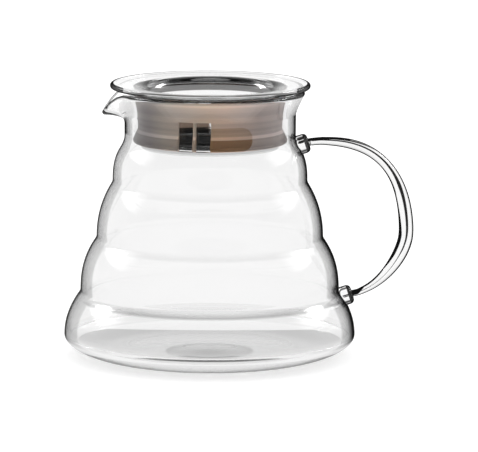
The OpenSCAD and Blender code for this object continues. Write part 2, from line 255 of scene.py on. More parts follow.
# %% The vessel, and which look each of its faces gets
SPOUT_TURNS, PLAIN_TURNS, SPOUT_CROWDING = 97, 241, 1.35
# The lower corner between these heights gets a painted glow from within, as does the dimple under the foot;
# the dimple's front arc gets a weaker glow, a painted dark line.
PAINTED_GLOW_LOW, PAINTED_GLOW_HIGH = 4.5, 11.0
DIMPLE_RIM, DIMPLE_FRONT = 16, 0.72
OUTSIDE, INSIDE, GLOWING_CORNER, DIMPLE, DIMPLE_SHADED_FRONT = range(5)

spout_angles = [spout_half * np.sign(t) * abs(t) ** SPOUT_CROWDING for t in np.linspace(-1, 1, SPOUT_TURNS)]
plain_angles = np.linspace(spout_half, 2 * np.pi - spout_half, PLAIN_TURNS)[1:-1]
vessel_angles = np.concatenate([spout_angles, plain_angles])
sections = [vessel_section(spout_share(a) if abs(a) <= spout_half else 0) for a in vessel_angles]
points, faces, number = turned_skin(sections, vessel_angles + np.pi)
vessel = new_piece("vessel", points, faces, "carafe", "glass_body")
inner_from = DOME_POINTS + FLAT_POINTS + len(outline) + BAND_STEPS + BEAD_STEPS // 2


def vessel_skin(k, y, z):
    """The look of a face, from its number round the section and its middle in millimetres."""
    if k >= inner_from:
        return INSIDE
    if k < DOME_POINTS - 1:
        return DIMPLE_SHADED_FRONT if k >= DIMPLE_RIM and y < -DIMPLE_FRONT * PUNT_D / 2 else DIMPLE
    return GLOWING_CORNER if PAINTED_GLOW_LOW < z < PAINTED_GLOW_HIGH else OUTSIDE


vessel_look = [vessel_skin(k, *points[list(corners)].mean(0)[1:]) for k, corners in zip(number, faces)]
print("faces of the vessel by look:", np.bincount(vessel_look).tolist())

# %% [markdown]
# ## The handle
#
# The handle is a glass rod, bent hot, that swells where the hand holds it. Each end is pressed
# against the soft wall, which leaves a round button. A Bezier curve with a bevel would do for the
# rod, but not for the buttons and the soft neck between button and rod, so rings are laid along
# the centre line with a radius for each, and the button is simply where the radius is large.
# The buttons' undersides follow the wall and lie a little inside it, as fused glass does.

# %% The handle's centre line
PAD_D, PAD_TILT, PAD_H = 8.0, math.radians(18), 3.9
UPPER_PAD_Z, LOWER_PAD_Z = NECK_Z - 1.3, LOW_GROOVE_Z - 2.0
HANDLE_OUT = np.array([80.4, 51.8])
PULL_SHARES = (0.455, 0.515, 0.26, 0.35)
LEAVE = math.radians(8)
ROD_TOP_D, ROD_ARCH_D, ROD_MID_D, ROD_LOW_D = 3.1, 4.2, 6.1, 2.7
ARCH_AT, SWELL_FROM, THIN_FROM, ARM_POINTS = 0.3, 0.5, 0.2, 121
pad_axis = np.array([math.cos(PAD_TILT), math.sin(PAD_TILT)])


def pad_seat(z):
    """The middle of a button's foot on the wall."""
    return np.array([np.mean(vessel_radius([z - PAD_D / 2, z + PAD_D / 2])), z])


def cubic(p, t):
    """Points on a Bezier curve with four control points."""
    t = t[:, None]
    return (1 - t) ** 3 * p[0] + 3 * (1 - t) ** 2 * t * p[1] + 3 * (1 - t) * t ** 2 * p[2] + t ** 3 * p[3]


upper_end = pad_seat(UPPER_PAD_Z) + PAD_H * pad_axis
lower_end = pad_seat(LOWER_PAD_Z) + PAD_H * pad_axis
leaving = np.array([math.cos(LEAVE), math.sin(LEAVE)])
upper_span, lower_span = np.linalg.norm(HANDLE_OUT - upper_end), np.linalg.norm(HANDLE_OUT - lower_end)
t = np.linspace(0, 1, ARM_POINTS)
upper_line = cubic([upper_end, upper_end + PULL_SHARES[0] * upper_span * leaving,
                    HANDLE_OUT + [0, PULL_SHARES[1] * upper_span], HANDLE_OUT], t)
lower_line = cubic([HANDLE_OUT, HANDLE_OUT - [0, PULL_SHARES[2] * lower_span],
                    lower_end + PULL_SHARES[3] * lower_span * leaving, lower_end], t)
upper_width = (ROD_TOP_D + (ROD_ARCH_D - ROD_TOP_D) * smooth(t / ARCH_AT)
               + (ROD_MID_D - ROD_ARCH_D) * smooth((t - SWELL_FROM) / (1 - SWELL_FROM)))
lower_width = ROD_MID_D + (ROD_LOW_D - ROD_MID_D) * smooth((t - THIN_FROM) / (1 - THIN_FROM))
print("the handle's ends are at", upper_end.round(2), "and", lower_end.round(2), "mm")

# %% Rings along the handle, and the buttons' feet on the wall
SIDES, PAD_RINGS, EASING, STILL_RINGS = 48, 26, 160, 8
CROWN_FROM, CROWN_POWER = 0.5, 0.7
FOOT_SHARES, SINK, SEAT_ROUNDS = (1, 0.8, 0.6, 0.4, 0.2), 0.25, 12


def button(z, rod_d):
    """Centres and radii of one button's rings, from its foot to the rod."""
    rise = np.linspace(0, 1, PAD_RINGS)
    crown = np.clip((rise - CROWN_FROM) / (1 - CROWN_FROM), 0, 1)
    radius = rod_d / 2 + (PAD_D - rod_d) / 2 * np.sqrt(np.clip(1 - crown ** 2, 0, 1)) ** CROWN_POWER
    return pad_seat(z) + np.outer(rise * PAD_H, pad_axis), radius


def ring(centre, across, radius):
    """Points round a centre of the handle's plane, with the given direction across the rod."""
    a = 2 * np.pi * np.arange(SIDES) / SIDES
    side = np.outer(np.cos(a), across) * radius
    return np.stack([centre[0] + side[:, 0], -np.sin(a) * radius, centre[1] + side[:, 1]], 1)


def handle_rings():
    """The rings of the rod with a button at each end. The rod's own rings are eased into a fair line."""
    up_c, up_r = button(UPPER_PAD_Z, ROD_TOP_D)
    low_c, low_r = button(LOWER_PAD_Z, ROD_LOW_D)
    centres = np.vstack([up_c, upper_line[2:], lower_line[1:-2], low_c[::-1]])
    radii = np.concatenate([up_r, upper_width[2:] / 2, lower_width[1:-2] / 2, low_r[::-1]])
    rod = slice(PAD_RINGS + STILL_RINGS, len(centres) - PAD_RINGS - STILL_RINGS)
    for _ in range(EASING):
        for values in (centres, radii):
            middle = (np.roll(values, 1, 0) + 2 * values + np.roll(values, -1, 0)) / 4
            values[rod] = middle[rod]
    ahead = np.gradient(centres, axis=0)
    ahead /= np.linalg.norm(ahead, axis=1)[:, None]
    ahead[:PAD_RINGS] = pad_axis
    ahead[-PAD_RINGS:] = -pad_axis
    return [ring(c, np.array([-d[1], d[0]]), r) for c, d, r in zip(centres, ahead, radii)]


def seated(row):
    """A foot ring slid along the button's axis until it lies a little inside the wall."""
    axis = np.array([pad_axis[0], 0, pad_axis[1]])
    moved = row.copy()
    for _ in range(SEAT_ROUNDS):
        gap = np.hypot(moved[:, 0], moved[:, 1]) - (vessel_radius(moved[:, 2]) - SINK)
        moved -= np.outer(gap, axis)
    return moved


# %% The handle as one skin, buttons and all
across = np.array([-pad_axis[1], pad_axis[0]])
up_feet = [seated(ring(pad_seat(UPPER_PAD_Z), across, PAD_D / 2 * share)) for share in FOOT_SHARES]
low_feet = [seated(ring(pad_seat(LOWER_PAD_Z), -across, PAD_D / 2 * share)) for share in FOOT_SHARES]
rows = up_feet[::-1] + handle_rings()[1:-1] + low_feet
points = np.vstack(rows + [rows[0].mean(0)[None], rows[-1].mean(0)[None]])
last = len(rows) - 1
faces = [(i * SIDES + k, i * SIDES + (k + 1) % SIDES, (i + 1) * SIDES + (k + 1) % SIDES, (i + 1) * SIDES + k)
         for i in range(last) for k in range(SIDES)]
faces += [(len(rows) * SIDES, (k + 1) % SIDES, k) for k in range(SIDES)]
faces += [(len(rows) * SIDES + 1, last * SIDES + k, last * SIDES + (k + 1) % SIDES) for k in range(SIDES)]
handle = new_piece("handle", points, faces, "carafe", "handle_rod", "upper_weld_pad", "lower_weld_pad")
# The rod gets painted dark edges and lines, the buttons painted dark bands, and the crowns are painted nearly
# black.
ROD, BUTTON, CROWN = range(3)
rod_from, crown_from = len(FOOT_SHARES) + PAD_RINGS - 2, len(FOOT_SHARES) + PAD_RINGS // 2
from_end = [min(i, last - 1 - i) for i in range(last) for _ in range(SIDES)] + [0] * (2 * SIDES)
handle_look = [ROD if i >= rod_from else CROWN if i >= crown_from else BUTTON for i in from_end]

# %% [markdown]
# ## The lid
#
# The lid is one pressed piece of glass: a cup that hangs in the neck, and a flange with a round
# edge that lies on the rim and turns up a little. It is a body of revolution, so its outline is
# all that has to be drawn.

# %% The lid's sizes and its section
FLANGE_OUT, FLANGE_T, FLANGE_RISE, FLANGE_POWER, LID_SEAT_GAP = 2.3, 2.2, 1.6, 2.5, 0.2
CUP_H, CUP_WALL, CUP_BEND_R, CUP_LIP, CUP_EDGE_H = 23.4, 2.0, 3.5, 0.5, 1.2
CORNER_R = 1.0
GASKET_NECK_GAP, LIP_OUT, GASKET_WALL, GASKET_BORE_GAP, GASKET_END_GAP = 1.5, 2.05, 1.8, 0.05, 0.2
LIP_R = NECK_D / 2 - WALL - GASKET_NECK_GAP
WAIST_R = LIP_R - LIP_OUT
BORE_R = WAIST_R - GASKET_WALL
CUP_R = BORE_R - GASKET_BORE_GAP
LID_R = RIM_R + FLANGE_OUT
FLANGE_ROOT_R = CUP_R + CUP_BEND_R


def flange_lift(r):
    """How far the flange has risen at a radius."""
    return FLANGE_RISE * (np.maximum(r - FLANGE_ROOT_R, 0) / (LID_R - FLANGE_ROOT_R)) ** FLANGE_POWER


FLANGE_Z = RIM_Z + LID_SEAT_GAP - flange_lift(RIM_C_R)
CUP_FLOOR_Z = FLANGE_Z - CUP_H


ARC_STEPS, FOOT_STEPS, CORNER_STEPS = 20, 14, 10
FLOOR_STEPS, SIDE_STEPS, ROOT_STEPS, FLANGE_POINTS = 16, 12, 4, 28


def arc(centre, radius, start, end, steps=ARC_STEPS):
    """Points on an arc between two angles in degrees."""
    a = np.radians(np.linspace(start, end, steps + 1))
    return np.array(centre) + radius * np.stack([np.cos(a), np.sin(a)], 1)


def line(p, q, steps):
    """Points between two others, without them."""
    return np.linspace(p, q, steps + 2)[1:-1]


def lid_section():
    """The lid's closed section from the axis under the cup round to the axis on the cup's floor."""
    edge_r, foot_r = FLANGE_T / 2, CUP_EDGE_H / 2
    edge_c = [LID_R - edge_r, FLANGE_Z + flange_lift(LID_R - edge_r) + edge_r]
    flat = np.linspace(FLANGE_ROOT_R, edge_c[0], FLANGE_POINTS)[1:-1]
    under = np.stack([flat, FLANGE_Z + flange_lift(flat)], 1)
    inner_r, inner_bend, floor_z = CUP_R - CUP_WALL, CUP_BEND_R + CUP_WALL, CUP_FLOOR_Z + CUP_WALL
    foot = arc([CUP_R + CUP_LIP - foot_r, CUP_FLOOR_Z + foot_r], foot_r, -90, 60, FOOT_STEPS)
    parts = [
        [[0, CUP_FLOOR_Z]], line([0, CUP_FLOOR_Z], foot[0], FLOOR_STEPS), foot,
        [[CUP_R, CUP_FLOOR_Z + CUP_EDGE_H + CUP_LIP]],
        line([CUP_R, CUP_FLOOR_Z + CUP_EDGE_H + CUP_LIP], [CUP_R, FLANGE_Z - CORNER_R], SIDE_STEPS),
        arc([CUP_R + CORNER_R, FLANGE_Z - CORNER_R], CORNER_R, 180, 90, CORNER_STEPS),
        line([CUP_R + CORNER_R, FLANGE_Z], [FLANGE_ROOT_R, FLANGE_Z], ROOT_STEPS),
        under,
        arc(edge_c, edge_r, -90, 90),
        under[::-1] + [0, FLANGE_T],
        arc([inner_r + inner_bend, FLANGE_Z + FLANGE_T - inner_bend], inner_bend, 90, 180),
        line([inner_r, FLANGE_Z + FLANGE_T - inner_bend], [inner_r, floor_z + CUP_BEND_R], SIDE_STEPS),
        arc([inner_r - CUP_BEND_R, floor_z + CUP_BEND_R], CUP_BEND_R, 0, -90),
        line([inner_r - CUP_BEND_R, floor_z], [0, floor_z], FLOOR_STEPS),
        [[0, floor_z]],
    ]
    return np.vstack(parts), np.repeat(range(len(parts)), [len(part) for part in parts])


# %% The lid, and which look each of its faces gets
ROUND = 256
FOOT_PART, CORNER_PARTS, BEAD_PART, FLOOR_BEND_PART, FLOOR_PART = 2, (5, 6), 8, 12, 13
# The bead's painted highlight: its half width in front, and the point of its section where it starts.
HIGHLIGHT_HALF, HIGHLIGHT_FROM = 35.0, 9
# The lid's looks: painted dark edges on its bead and floor, painted shade in the corner under the flange and
# in the floor's bend, and painted highlights on the bead and the foot.
PLAIN, EDGE, CORNER, FLOOR_BEND, FLOOR, PAINTED_HIGHLIGHT_BEAD, PAINTED_HIGHLIGHT_FOOT = range(7)

even_angles = 2 * np.pi * np.arange(ROUND) / ROUND
section, part = lid_section()
points, faces, number = turned_skin([section] * ROUND, even_angles)
lid = new_piece("lid", points, faces, "lid", "lid_glass")
look_of_part = {BEAD_PART: EDGE, CORNER_PARTS[0]: CORNER, CORNER_PARTS[1]: CORNER,
                FLOOR_BEND_PART: FLOOR_BEND, FLOOR_PART: FLOOR, FOOT_PART: PAINTED_HIGHLIGHT_FOOT}
upper_bead = list(part).index(BEAD_PART) + HIGHLIGHT_FROM


def lid_skin(k, x, y):
    """The look of a face: its part of the section, and a painted highlight on the bead's upper half in front.
    """
    if part[k + 1] == BEAD_PART and k + 1 >= upper_bead and y < 0 and abs(x) < HIGHLIGHT_HALF:
        return PAINTED_HIGHLIGHT_BEAD
    return look_of_part.get(part[k + 1], PLAIN)


lid_look = [lid_skin(k, *points[list(corners)].mean(0)[:2]) for k, corners in zip(number, faces)]
print("faces of the lid by look:", np.bincount(lid_look).tolist())

# %% [markdown]
# ## The gasket
#
# The gasket is moulded silicone. Its band flares towards the top, a lip at its foot brushes the
# neck, and two notches let coffee past when one of them is turned to the spout. The band is a
# ring skin, and the notches are cut out of it with a Boolean, which is how a cut in a rubber ring
# would be planned as well. A small bevel then takes the knife edge off, since silicone never has one.

# %% The gasket's ring
GASKET_FLARE, GASKET_POWER, LIP_H, LIP_MID_SHARE = 1.7, 2.4, 6.6, 0.36
NOTCH_W, NOTCH_H, NOTCH_RIB_T, GASKET_TURN = 13.2, 12.6, 1.0, math.radians(-12)
GASKET_TOP_Z = FLANGE_Z - CORNER_R - GASKET_END_GAP
GASKET_LOW_Z = CUP_FLOOR_Z + CUP_EDGE_H + CUP_LIP + GASKET_END_GAP
CURVE_POINTS = 15


def gasket_section():
    """The closed section of the ring, from its bore's foot round and back."""
    lip_mid_z, lip_top_z = GASKET_LOW_Z + LIP_H * LIP_MID_SHARE, GASKET_LOW_Z + LIP_H
    a = np.radians(np.linspace(0, 90, CURVE_POINTS))
    mid_r = BORE_R + GASKET_WALL / 2
    under = np.stack([mid_r + (LIP_R - mid_r) * np.sin(a),
                      lip_mid_z - (lip_mid_z - GASKET_LOW_Z) * np.cos(a)], 1)
    t = np.linspace(0, 1, CURVE_POINTS)
    band = np.stack([WAIST_R + GASKET_FLARE * t ** GASKET_POWER,
                     lip_top_z + (GASKET_TOP_Z - lip_top_z) * t], 1)
    return np.vstack([[[BORE_R, GASKET_LOW_Z]], under, band, [[BORE_R, GASKET_TOP_Z]]])


def ring_skin(section, angles):
    """Points and faces of a ring whose section is a closed loop."""
    rows = [np.stack([section[:, 0] * math.cos(a), section[:, 0] * math.sin(a), section[:, 1]], 1)
            for a in angles]
    n, turns = len(section), len(angles)
    faces = [(i * n + k, (i + 1) % turns * n + k, (i + 1) % turns * n + (k + 1) % n, i * n + (k + 1) % n)
             for i in range(turns) for k in range(n)]
    return np.vstack(rows), faces


def block(name, low, high):
    """A plain cutter between two corners, in millimetres."""
    points = [(x, y, z) for x in (low[0], high[0]) for y in (low[1], high[1]) for z in (low[2], high[2])]
    faces = [(0, 1, 3, 2), (4, 6, 7, 5), (0, 4, 5, 1), (2, 3, 7, 6), (0, 2, 6, 4), (1, 5, 7, 3)]
    mesh = bpy.data.meshes.new(name)
    mesh.from_pydata([tuple(c * MM for c in p) for p in points], [], faces)
    cutter = bpy.data.objects.new(name, mesh)
    bpy.context.scene.collection.objects.link(cutter)
    return cutter


points, faces = ring_skin(gasket_section(), even_angles)
gasket = new_piece("gasket", points, faces, "gasket", "lid_gasket")

# %% The notches, cut and eased
EASE, EASE_ANGLE = 0.25, math.radians(50)


def apply_modifiers(piece):
    """The piece keeps the mesh that its modifiers make."""
    evaluated = piece.evaluated_get(bpy.context.evaluated_depsgraph_get())
    mesh = bpy.data.meshes.new_from_object(evaluated)
    piece.modifiers.clear()
    piece.data = mesh


for back in (0, math.pi):
    for x in (-NOTCH_W / 2, NOTCH_RIB_T / 2):
        cutter = block("cutter", (x, -LIP_R - 1, GASKET_LOW_Z - 1),
                       (x + (NOTCH_W - NOTCH_RIB_T) / 2, 0, GASKET_LOW_Z + NOTCH_H))
        cutter.data.transform(Matrix.Rotation(GASKET_TURN + back, 4, "Z"))
        cut = gasket.modifiers.new("notch", "BOOLEAN")
        cut.operation, cut.solver, cut.object = "DIFFERENCE", "EXACT", cutter
        apply_modifiers(gasket)
        bpy.data.objects.remove(cutter)
ease = gasket.modifiers.new("ease", "BEVEL")
ease.width, ease.segments, ease.limit_method, ease.angle_limit = EASE * MM, 2, "ANGLE", EASE_ANGLE
ease.harden_normals = False
apply_modifiers(gasket)
gasket.data.polygons.foreach_set("use_smooth", [True] * len(gasket.data.polygons))
bpy.context.view_layer.update()
print("the gasket has", len(gasket.data.polygons), "faces")

# %% [markdown]
# ## Clear glass
#
# Clear blown glass is a surface that bends light, with a very slight waviness from the mould. The
# Principled shader with full transmission bends the light. Real glass also turns dark where one
# looks along the wall, because there it shows the dark parts of the studio. That could be left to
# dark cards round the piece, but in a thin wall they land only by luck. So that darkness is painted
# on: a Layer Weight mixes a black matte shader into the outer skin, nothing in the middle, grey in a
# band, and nearly black at the very edge, a painted reflection of the dark studio. The inner skin
# stays clear, or each edge would be drawn twice. The thick glass in the grooves, the pressed bends of
# the lid and lines along the thick rod get some of this painted shade too, by their height or slope.
# The lid's near edge and the cup's foot get a painted highlight instead, a white glow where they
# would catch a lamp. In the vessel's lower corner and in the dimple under its foot, light runs round
# inside the glass. A path tracer gives that up after a few steps and leaves it black, so those two
# skins get a painted glow: they send back a level of their own to light from within. For shadow rays
# the glass is mixed with a transparent shader, or it would throw the black shadow of a stone.

# %% Small helpers for materials
def nodes_of(material):
    """The material's tree, empty, with its nodes and links."""
    material.use_nodes = True
    tree = material.node_tree
    tree.nodes.clear()
    return tree, tree.nodes, tree.links


def ramp(tree, value, stops):
    """The level or colour that the stops, pairs of a position and a level or colour, give at a value."""
    node = tree.nodes.new("ShaderNodeValToRGB")
    elements = node.color_ramp.elements
    elements.remove(elements[-1])
    for i, (position, colour) in enumerate(stops):
        colour = colour if isinstance(colour, tuple) else (colour,) * 3
        element = elements.new(position) if i else elements[0]
        element.position, element.color = position, (*colour, 1)
    tree.links.new(value, node.inputs["Fac"])
    return node.outputs["Color"]


def put(tree, given, socket):
    """Set a plain number on the socket, or link an output to it."""
    if isinstance(given, (int, float)):
        socket.default_value = given
    else:
        tree.links.new(given, socket)


def math_node(tree, operation, *values):
    node = tree.nodes.new("ShaderNodeMath")
    node.operation = operation
    for socket, value in zip(node.inputs, values):
        put(tree, value, socket)
    return node.outputs["Value"]


def between(tree, value, low, high):
    """1 where the value lies between two numbers."""
    return math_node(tree, "MULTIPLY", math_node(tree, "GREATER_THAN", value, low),
                     math_node(tree, "LESS_THAN", value, high))


def beyond(tree, value, start):
    """How far the value goes past a number."""
    return math_node(tree, "MAXIMUM", math_node(tree, "SUBTRACT", value, start), 0.0)


def length(tree, *values):
    """The length of a line with these steps along the axes."""
    squares = [math_node(tree, "MULTIPLY", v, v) for v in values]
    return math_node(tree, "SQRT", math_node(tree, "ADD", *squares))


def fade(tree, share, value, otherwise=1.0):
    """The value where the share is 1, and otherwise the other one."""
    mix = tree.nodes.new("ShaderNodeMix")
    for socket, given in (("Factor", share), ("A", otherwise), ("B", value)):
        put(tree, given, mix.inputs[socket])
    return mix.outputs["Result"]


def split_axes(tree, vector):
    split = tree.nodes.new("ShaderNodeSeparateXYZ")
    tree.links.new(vector, split.inputs["Vector"])
    return split.outputs


def mixed(tree, share, first, second):
    """A mix of two shaders, all of the second where the share is 1."""
    mix = tree.nodes.new("ShaderNodeMixShader")
    for given, socket in zip((share, first, second), mix.inputs):
        tree.links.new(given, socket)
    return mix.outputs["Shader"]


# %% Where the glass is painted dark
# From this height up, the neck gets the darker painted edge, as the handle's side does.
NECK_FROM = NECK_Z * MM + 0.004
# Where the painted dark lines run on the rod: its top, its lower end and the inside of its bow.
TOP_LINE, LOW_END, LOW_THIN = (0.046, 38.0, 0.4), (0.0605, 400.0, -0.5), (12.0, 0.6)
LOW_ARM_Z, INNER_LINE_Z, INNER_LINE_HALF, INNER_LINE = 0.036, 0.0465, 0.004, (20.0, -0.58)
UNDER_FROM, UNDER_TO = -0.55, -0.15


def painted_wall_shade(tree, x, z, edge, right_edge, crease_shade):
    """Painted darkness by how the skin faces the eye, and painted shade in the grooves by height."""
    weight = tree.nodes.new("ShaderNodeLayerWeight")
    weight.inputs["Blend"].default_value = 0.5
    facing = weight.outputs["Facing"]
    darkness = ramp(tree, facing, [(0.0, 0.0)] + edge)
    # The handle's side and the neck get a darker painted edge.
    if right_edge:
        darker = math_node(tree, "MAXIMUM", math_node(tree, "GREATER_THAN", x, 0.0),
                           math_node(tree, "GREATER_THAN", z, NECK_FROM))
        darkness = fade(tree, darker, ramp(tree, facing, [(0.0, 0.0)] + right_edge), darkness)
    # Painted shade in the grooves, by height.
    if crease_shade:
        share = math_node(tree, "DIVIDE", z, RIM_Z * MM)
        darkness = math_node(tree, "MAXIMUM", darkness, ramp(tree, share, [(0.0, 0.0)] + crease_shade))
    return darkness


def painted_rod_lines(tree, x, z, normal, darkness):
    """Painted dark lines along the rod: on its top, at its lower end, and on the inside of its bow."""
    start, slope, level = TOP_LINE
    top = math_node(tree, "ADD", math_node(tree, "MULTIPLY", beyond(tree, x, start), slope), level)
    start, slope, level = LOW_END
    past_end = beyond(tree, x, start)
    end = math_node(tree, "ADD", math_node(tree, "MULTIPLY", past_end, slope), level)
    slope, level = LOW_THIN
    thin = math_node(tree, "SUBTRACT", level, math_node(tree, "MULTIPLY", past_end, slope))
    low_arm = math_node(tree, "LESS_THAN", z, LOW_ARM_Z)
    limit = fade(tree, low_arm, math_node(tree, "MINIMUM", end, thin), top)
    darkness = math_node(tree, "MAXIMUM", darkness, math_node(tree, "GREATER_THAN", normal["Z"], limit))
    off = math_node(tree, "ABSOLUTE", math_node(tree, "SUBTRACT", z, INNER_LINE_Z))
    off = beyond(tree, off, INNER_LINE_HALF)
    slope, level = INNER_LINE
    limit = math_node(tree, "SUBTRACT", level, math_node(tree, "MULTIPLY", off, slope))
    return math_node(tree, "MAXIMUM", darkness, math_node(tree, "LESS_THAN", normal["X"], limit))


# %% The glass material
WAVE_SCALE, WAVE_DETAIL, WAVE_DEPTH = 45, 1.5, 0.002
GLASS_IOR, GLASS_CLEAR, SHADOW_CLEAR, PAINTED_DARK, PAINTED_DARK_ROUGHNESS = 1.47, 0.99, 0.95, 0.01, 0.6
PAINTED_GLOW_SHARE = 0.85


def clear_glass(name, edge=None, right_edge=None, crease_shade=None, wave=0.01, under=1.0, inside=1.0,
                lines=False, lit=0.0, within=0.0):
    """A hand-blown glass with painted light and shade. The edge is pairs of a facing value, 0 to 1, and
    how dark it is painted there.

    The right edge is the same, painted darker, for the handle's side and for the neck. The crease
    shade is pairs of a share of the rim's height and a painted darkness. Under is the share of the
    darkness on faces that look down, and inside the share where light meets the skin from within.
    Lines are the painted dark lines of the rod. Where lit is over 0, the dark places glow white at
    that level instead, a painted highlight. Within is the level of a painted glow that stands for
    the light held inside the glass that comes back from this skin.
    """
    material = bpy.data.materials.new(name)
    tree, nodes, links = nodes_of(material)
    where = nodes.new("ShaderNodeTexCoord").outputs["Object"]
    way = nodes.new("ShaderNodeNewGeometry")
    noise = nodes.new("ShaderNodeTexNoise")
    noise.inputs["Scale"].default_value = WAVE_SCALE
    noise.inputs["Detail"].default_value = WAVE_DETAIL
    links.new(where, noise.inputs["Vector"])
    bump = nodes.new("ShaderNodeBump")
    bump.inputs["Strength"].default_value = wave
    bump.inputs["Distance"].default_value = WAVE_DEPTH
    links.new(noise.outputs["Fac"], bump.inputs["Height"])
    glass = nodes.new("ShaderNodeBsdfPrincipled")
    glass.inputs["Roughness"].default_value = 0.0
    glass.inputs["IOR"].default_value = GLASS_IOR
    glass.inputs["Transmission Weight"].default_value = 1.0
    glass.inputs["Base Color"].default_value = (GLASS_CLEAR,) * 3 + (1,)
    links.new(bump.outputs["Normal"], glass.inputs["Normal"])
    seen = glass.outputs["BSDF"]
    if edge:
        x, _, z = split_axes(tree, where)
        normal = split_axes(tree, way.outputs["Normal"])
        darkness = painted_wall_shade(tree, x, z, edge, right_edge, crease_shade)
        if lines:
            darkness = painted_rod_lines(tree, x, z, normal, darkness)
        if inside < 1:
            darkness = math_node(tree, "MULTIPLY", darkness, fade(tree, way.outputs["Backfacing"], inside))
        if under < 1:
            down = nodes.new("ShaderNodeMapRange")
            for socket, value in (("Value", normal["Z"]), ("From Min", UNDER_FROM), ("From Max", UNDER_TO),
                                  ("To Min", under), ("To Max", 1.0)):
                put(tree, value, down.inputs[socket])
            darkness = math_node(tree, "MULTIPLY", darkness, down.outputs["Result"])
        # The painted dark: a black matte shader mixed into the glass by the darkness share.
        black = nodes.new("ShaderNodeBsdfPrincipled")
        black.inputs["Base Color"].default_value = (PAINTED_DARK,) * 3 + (1,)
        black.inputs["Roughness"].default_value = PAINTED_DARK_ROUGHNESS
        black.inputs["Specular IOR Level"].default_value = 0.0
        # A painted highlight: the mixed-in shader glows white instead of being black.
        if lit:
            black.inputs["Emission Color"].default_value = (1, 1, 1, 1)
            black.inputs["Emission Strength"].default_value = lit
        seen = mixed(tree, darkness, seen, black.outputs["BSDF"])
    # A painted glow: an emission seen from inside the skin, for light that runs round inside the glass.
    if within:
        painted_glow = nodes.new("ShaderNodeEmission")
        painted_glow.inputs["Strength"].default_value = within
        share = math_node(tree, "MULTIPLY", way.outputs["Backfacing"], PAINTED_GLOW_SHARE)
        seen = mixed(tree, share, seen, painted_glow.outputs["Emission"])
    clear_path = nodes.new("ShaderNodeBsdfTransparent")
    clear_path.inputs["Color"].default_value = (SHADOW_CLEAR,) * 3 + (1,)
    shadow = nodes.new("ShaderNodeLightPath").outputs["Is Shadow Ray"]
    out = nodes.new("ShaderNodeOutputMaterial")
    links.new(mixed(tree, shadow, seen, clear_path.outputs["BSDF"]), out.inputs["Surface"])
    return material


# %% How dark each edge is painted, the painted highlights and glows, and the glass on its pieces
# Painted darkness by facing value, 0 to 1: the glass edges as a painted reflection of the dark studio.
VESSEL_EDGE = [(0.57, 0.0), (0.60, 0.28), (0.72, 0.42), (0.82, 0.62), (0.86, 0.94)]
RIGHT_EDGE = [(0.57, 0.0), (0.60, 0.3), (0.70, 0.55), (0.78, 0.88), (0.83, 1.0)]
ROD_EDGE = [(0.34, 0.0), (0.43, 0.8), (0.52, 1.0)]
# Painted dark bands on the buttons by facing, and crowns painted nearly black all over.
BUTTON_EDGE = [(0.16, 0.0), (0.24, 0.9), (0.34, 0.9), (0.40, 0.1), (0.50, 0.1), (0.58, 0.95)]
CROWN_EDGE = [(0.001, 0.94), (1.0, 0.97)]
LID_EDGE = [(0.60, 0.0), (0.72, 0.7), (0.82, 0.98)]
# Painted shade, nearly even, in the lid's corner under the flange and in the bend of its floor.
CORNER_SHADE = [(0.001, 0.75), (1.0, 0.9)]
BEND_SHADE = [(0.001, 0.85), (0.30, 0.92)]
FLOOR_EDGE = [(0.60, 0.0), (0.78, 0.97)]
# Painted highlights on the lid's bead and the cup's foot, and how bright they glow.
BEAD_HIGHLIGHT, FOOT_HIGHLIGHT, HIGHLIGHT_GLOW = [(0.30, 0.2), (0.60, 0.75)], [(0.001, 0.60)], 0.95
# Painted glow from within the vessel's lower corner and dimple, weaker on the dimple's front, where it reads
# as a painted dark line.
CORNER_GLOW_LEVEL, DIMPLE_GLOW_LEVEL, DIMPLE_SHADED_FRONT_LEVEL = 0.93, 0.45, 0.12
ROD_WAVE, LID_WAVE = 0.006, 0.003
# Painted shade at each groove, mostly just below it: its height and darkness.
GROOVE_SHADE = ((LOW_GROOVE_Z, 0.42), (MID_GROOVE_Z, 0.10), (HIGH_GROOVE_Z, 0.08))
CREASE_SHADE_STOPS = [((groove + step) / RIM_Z, dark * share) for groove, dark in GROOVE_SHADE
           for step, share in ((-2.8, 0.0), (-2.0, 1.0), (-1.2, 0.8), (0.8, 0.0))]


def dress(piece, slot, face_looks, *materials):
    """A piece gets its materials in the order of its looks, and each face its own look."""
    piece.data.materials.clear()
    for material in materials:
        piece.data.materials.append(material)
    piece.data.polygons.foreach_set("material_index", face_looks)
    print(piece.name, "has", len(materials), "materials")


# The vessel's outer skin carries the painted dark edges and the painted shade of the grooves.
wall = dict(edge=VESSEL_EDGE, right_edge=RIGHT_EDGE, crease_shade=CREASE_SHADE_STOPS, under=0.15, inside=0.0)
dress(vessel, "vessel_glass", vessel_look,
      clear_glass("blown_glass_outside", **wall),
      clear_glass("blown_glass_inside"),
      clear_glass("blown_glass_corner_painted_glow", VESSEL_EDGE, RIGHT_EDGE, under=0.15, inside=0.0, within=CORNER_GLOW_LEVEL),
      clear_glass("blown_glass_dimple", within=DIMPLE_GLOW_LEVEL),
      clear_glass("blown_glass_dimple_front_painted_shade", within=DIMPLE_SHADED_FRONT_LEVEL))
dress(handle, "handle_glass", handle_look,
      clear_glass("rod_glass", ROD_EDGE, wave=ROD_WAVE, lines=True, inside=0.0),
      clear_glass("button_glass", BUTTON_EDGE, wave=ROD_WAVE),
      clear_glass("crown_glass_painted_dark", CROWN_EDGE, wave=ROD_WAVE, inside=0.0))
